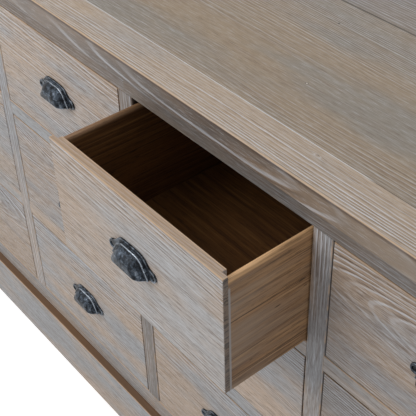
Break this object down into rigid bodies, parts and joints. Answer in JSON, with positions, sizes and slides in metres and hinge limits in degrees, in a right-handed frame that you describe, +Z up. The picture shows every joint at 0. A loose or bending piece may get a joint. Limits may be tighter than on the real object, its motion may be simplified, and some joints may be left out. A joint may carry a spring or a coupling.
{
  "type": "chest of drawers",
  "caption": "Floor-standing limewashed wooden chest of inset drawers in a tenoned face frame, with cast cup pulls, wooden runners, a boarded top and a plinth.",
  "frame": {"origin": "on the floor at the middle of the chest's width and of the carcass's depth", "axes": "+X to the right seen from the front, +Y towards the back, +Z up; drawers open towards -Y"},
  "size_m": [1.61, 0.581, 0.8645],
  "materials": {
    "limewashed_wood": "grey-beige limewash worn to tan at the arrises, matt",
    "bare_wood": "unpainted brown pine, matt",
    "cast_iron": "dark waxed casting with a pitted skin"
  },
  "bodies": {
    "carcass": {"left_end_stile": "limewashed_wood", "right_end_stile": "limewashed_wood", "left_stile": "limewashed_wood", "centre_stile": "limewashed_wood", "right_stile": "limewashed_wood", "top_rail": "limewashed_wood", "bottom_rail": "limewashed_wood", "divider_rails": "limewashed_wood", "left_end_panel": "limewashed_wood", "right_end_panel": "limewashed_wood", "left_partition": "bare_wood", "centre_partition": "bare_wood", "right_partition": "bare_wood", "floor_board": "bare_wood", "back_panel": "bare_wood", "top_front_board": "limewashed_wood", "top_middle_board": "limewashed_wood", "top_back_board": "limewashed_wood", "plinth_front": "limewashed_wood", "plinth_sides": "limewashed_wood", "plinth_back": "bare_wood", "plinth_braces": "bare_wood", "drawer_runners": "bare_wood", "top_kickers": "bare_wood"},
    "drawer_a1": {"drawer_a1_front": "limewashed_wood", "drawer_a1_box": "bare_wood", "drawer_a1_pull": "cast_iron"},
    "drawer_a2": {"drawer_a2_front": "limewashed_wood", "drawer_a2_box": "bare_wood", "drawer_a2_pull": "cast_iron"},
    "drawer_a3": {"drawer_a3_front": "limewashed_wood", "drawer_a3_box": "bare_wood", "drawer_a3_pull": "cast_iron"},
    "drawer_b1": {"drawer_b1_front": "limewashed_wood", "drawer_b1_box": "bare_wood", "drawer_b1_pull": "cast_iron"},
    "drawer_b2": {"drawer_b2_front": "limewashed_wood", "drawer_b2_box": "bare_wood", "drawer_b2_pull": "cast_iron"},
    "drawer_b3": {"drawer_b3_front": "limewashed_wood", "drawer_b3_box": "bare_wood", "drawer_b3_pull": "cast_iron"},
    "drawer_c1": {"drawer_c1_front": "limewashed_wood", "drawer_c1_box": "bare_wood", "drawer_c1_pull": "cast_iron"},
    "drawer_c2": {"drawer_c2_front": "limewashed_wood", "drawer_c2_box": "bare_wood", "drawer_c2_pull": "cast_iron"},
    "drawer_c3": {"drawer_c3_front": "limewashed_wood", "drawer_c3_box": "bare_wood", "drawer_c3_pull": "cast_iron"},
    "drawer_d1": {"drawer_d1_front": "limewashed_wood", "drawer_d1_box": "bare_wood", "drawer_d1_pull": "cast_iron"},
    "drawer_d2": {"drawer_d2_front": "limewashed_wood", "drawer_d2_box": "bare_wood", "drawer_d2_pull": "cast_iron"},
    "drawer_d3": {"drawer_d3_front": "limewashed_wood", "drawer_d3_box": "bare_wood", "drawer_d3_pull": "cast_iron"}
  },
  "joints": [
    {"name": "drawer_a1_slide", "type": "slide", "parent": "carcass", "child": "drawer_a1", "axis": [0, -1, 0], "range_m": [0, 0.27]},
    {"name": "drawer_a2_slide", "type": "slide", "parent": "carcass", "child": "drawer_a2", "axis": [0, -1, 0], "range_m": [0, 0.27]},
    {"name": "drawer_a3_slide", "type": "slide", "parent": "carcass", "child": "drawer_a3", "axis": [0, -1, 0], "range_m": [0, 0.27]},
    {"name": "drawer_b1_slide", "type": "slide", "parent": "carcass", "child": "drawer_b1", "axis": [0, -1, 0], "range_m": [0, 0.27]},
    {"name": "drawer_b2_slide", "type": "slide", "parent": "carcass", "child": "drawer_b2", "axis": [0, -1, 0], "range_m": [0, 0.27]},
    {"name": "drawer_b3_slide", "type": "slide", "parent": "carcass", "child": "drawer_b3", "axis": [0, -1, 0], "range_m": [0, 0.27]},
    {"name": "drawer_c1_slide", "type": "slide", "parent": "carcass", "child": "drawer_c1", "axis": [0, -1, 0], "range_m": [-0.131, 0.139]},
    {"name": "drawer_c2_slide", "type": "slide", "parent": "carcass", "child": "drawer_c2", "axis": [0, -1, 0], "range_m": [0, 0.27]},
    {"name": "drawer_c3_slide", "type": "slide", "parent": "carcass", "child": "drawer_c3", "axis": [0, -1, 0], "range_m": [0, 0.27]},
    {"name": "drawer_d1_slide", "type": "slide", "parent": "carcass", "child": "drawer_d1", "axis": [0, -1, 0], "range_m": [0, 0.27]},
    {"name": "drawer_d2_slide", "type": "slide", "parent": "carcass", "child": "drawer_d2", "axis": [0, -1, 0], "range_m": [0, 0.27]},
    {"name": "drawer_d3_slide", "type": "slide", "parent": "carcass", "child": "drawer_d3", "axis": [0, -1, 0], "range_m": [0, 0.27]}
  ]
}
